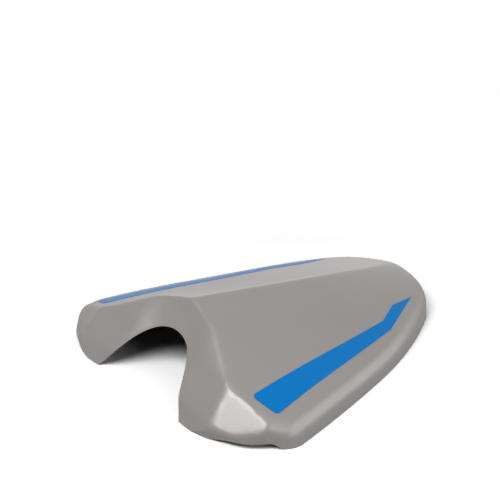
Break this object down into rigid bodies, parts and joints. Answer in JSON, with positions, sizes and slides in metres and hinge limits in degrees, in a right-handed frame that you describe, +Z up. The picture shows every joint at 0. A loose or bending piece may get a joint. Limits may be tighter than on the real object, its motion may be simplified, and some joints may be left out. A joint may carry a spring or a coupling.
{
  "type": "motorcycle seat cowl",
  "caption": "Wedge-shaped cowl over a motorcycle's rear seat: ridged roof, rounded shoulders, flat front corner facets, open arch in the slanted front wall, blue stripes along the sides.",
  "frame": {"origin": "centre of the outline, in the plane of the rim that the cowl stands on", "axes": "+Z up, +Y towards the tail, +X towards the machine's left; the mirror plane is x = 0 and the open arch faces -Y"},
  "size_m": [0.3024, 0.3373, 0.072],
  "materials": {
    "painted_plastic": "satin grey paint outside, bare black inside",
    "blue_vinyl": "satin cut vinyl film"
  },
  "bodies": {
    "root": {"cowl_shell": "painted_plastic", "stripe_left": "blue_vinyl", "stripe_right": "blue_vinyl"}
  },
  "joints": []
}
